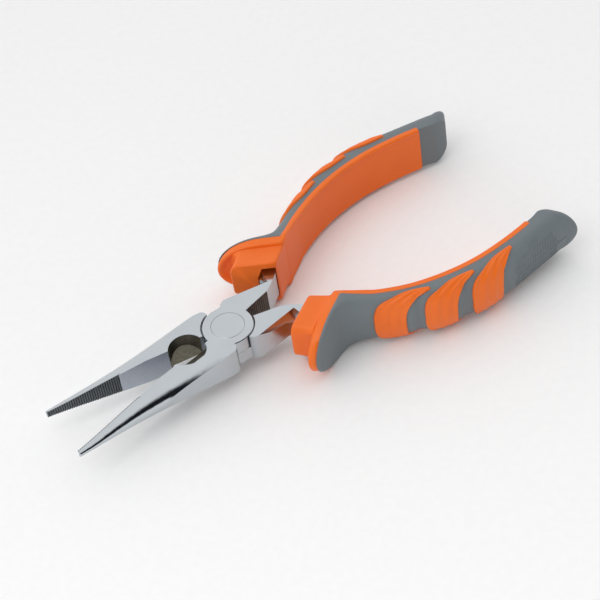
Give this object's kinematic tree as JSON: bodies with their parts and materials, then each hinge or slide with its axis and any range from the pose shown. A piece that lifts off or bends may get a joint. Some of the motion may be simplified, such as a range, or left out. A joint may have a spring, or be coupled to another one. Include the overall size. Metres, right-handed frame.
{
  "type": "needle nose pliers",
  "caption": "Long half-round nose pliers with serrated tips, side cutter, rear gripping teeth, a flush riveted lap joint and guarded two-colour curved grips, jaws standing part open.",
  "frame": {"origin": "on the pivot axis, at the middle of the joint's thickness", "axes": "+Z along the pivot axis out of the joint's upper face, +X towards the nose tips midway between the open jaws, +Y to the side of the upper half's jaw"},
  "size_m": [0.1975, 0.0926, 0.0254],
  "materials": {
    "chromed_steel": "satin polished chrome plate on forged steel",
    "chromed_rivet": "satin ground flush with the joint plates",
    "orange_plastic": "moulded, satin",
    "orange_pads": "moulded, satin, ribbed",
    "grey_overmould": "soft-touch elastomer, fine matt texture"
  },
  "bodies": {
    "upper": {"upper_half": "chromed_steel", "upper_grip_core": "orange_plastic", "upper_grip_sleeve": "grey_overmould", "upper_pad_front": "orange_pads", "upper_pad_middle": "orange_pads", "upper_pad_rear": "orange_pads", "pivot_rivet": "chromed_rivet"},
    "lower": {"lower_half": "chromed_steel", "lower_grip_core": "orange_plastic", "lower_grip_sleeve": "grey_overmould", "lower_pad_front": "orange_pads", "lower_pad_middle": "orange_pads", "lower_pad_rear": "orange_pads"}
  },
  "joints": [
    {"name": "pivot", "type": "hinge", "parent": "upper", "child": "lower", "pos_m": [0, 0, 0], "axis": [0, 0, 1], "range_deg": [-32, 17.6]}
  ]
}
